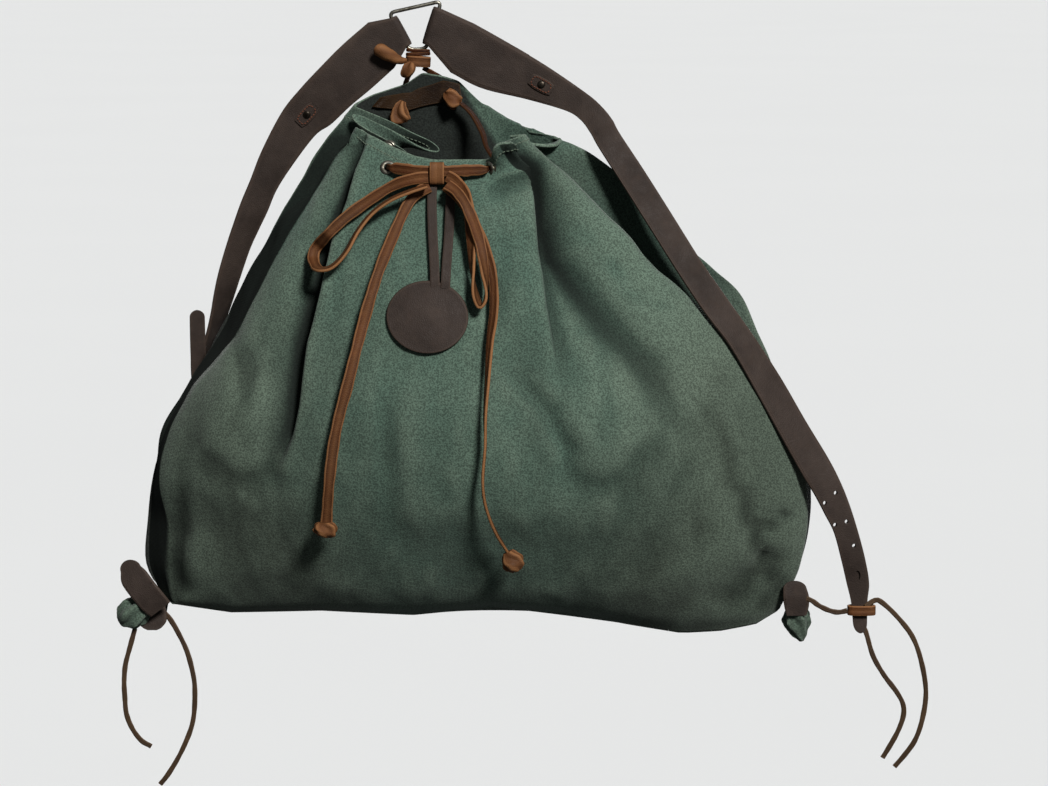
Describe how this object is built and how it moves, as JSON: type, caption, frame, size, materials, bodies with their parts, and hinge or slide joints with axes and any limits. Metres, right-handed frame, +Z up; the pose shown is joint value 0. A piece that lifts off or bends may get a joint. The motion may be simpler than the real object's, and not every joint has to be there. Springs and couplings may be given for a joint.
{
  "type": "mountain rucksack",
  "caption": "Hanging canvas mountain rucksack: gathered drawstring sack with leather shoulder straps folded over a wire ring, a bow, a round tag and tied lower corners.",
  "frame": {"origin": "inner middle of the top bar of the wire ring, where the rucksack hangs on a hook", "axes": "+Z up as it hangs, +X to the right as the front is seen, -Y out of the front, +Y to the back"},
  "size_m": [0.6851, 0.1806, 0.6637],
  "materials": {
    "canvas": "heavy washed cotton canvas, faded grey green, fine visible weave",
    "strap_leather": "thick dark brown saddle leather, worn, with darker edges",
    "lace_leather": "tan leather lace, waxed, lighter at its edges",
    "tie_leather": "thin aged leather tie, dry and matt",
    "ring_metal": "old nickel-plated wire and fittings, dulled"
  },
  "bodies": {
    "root": {"back_patch": "strap_leather", "bag_shell": "canvas", "bow_loop_left": "lace_leather", "bow_loop_right": "lace_leather", "bow_tail_left": "lace_leather", "bow_tail_right": "lace_leather", "bow_wrap": "lace_leather", "corner_ear_left": "canvas", "corner_ear_right": "canvas", "corner_lace_left_1": "tie_leather", "corner_lace_left_2": "tie_leather", "corner_lace_right_1": "tie_leather", "corner_lace_right_2": "tie_leather", "corner_link": "tie_leather", "corner_tab_left": "strap_leather", "corner_tab_right": "strap_leather", "draw_run_left": "lace_leather", "draw_run_right": "lace_leather", "draw_span_left": "lace_leather", "draw_span_right": "lace_leather", "eyelet_front_left": "ring_metal", "eyelet_front_right": "ring_metal", "eyelet_tuck_back": "ring_metal", "eyelet_tuck_front": "ring_metal", "hang_knob": "lace_leather", "hang_knot_left": "lace_leather", "hang_knot_right": "lace_leather", "hang_loop": "lace_leather", "hang_ring": "ring_metal", "hang_strand_left": "lace_leather", "hang_strand_right": "lace_leather", "hang_wrap": "lace_leather", "strap_knot": "lace_leather", "strap_left": "strap_leather", "strap_patch_left": "strap_leather", "strap_patch_right": "strap_leather", "strap_right": "strap_leather", "strap_rivet_left": "ring_metal", "strap_rivet_right": "ring_metal", "strap_tongue_left": "strap_leather", "tag_disc": "strap_leather", "tag_strap": "strap_leather", "tail_knot_left": "lace_leather", "tail_knot_right": "lace_leather"}
  },
  "joints": []
}
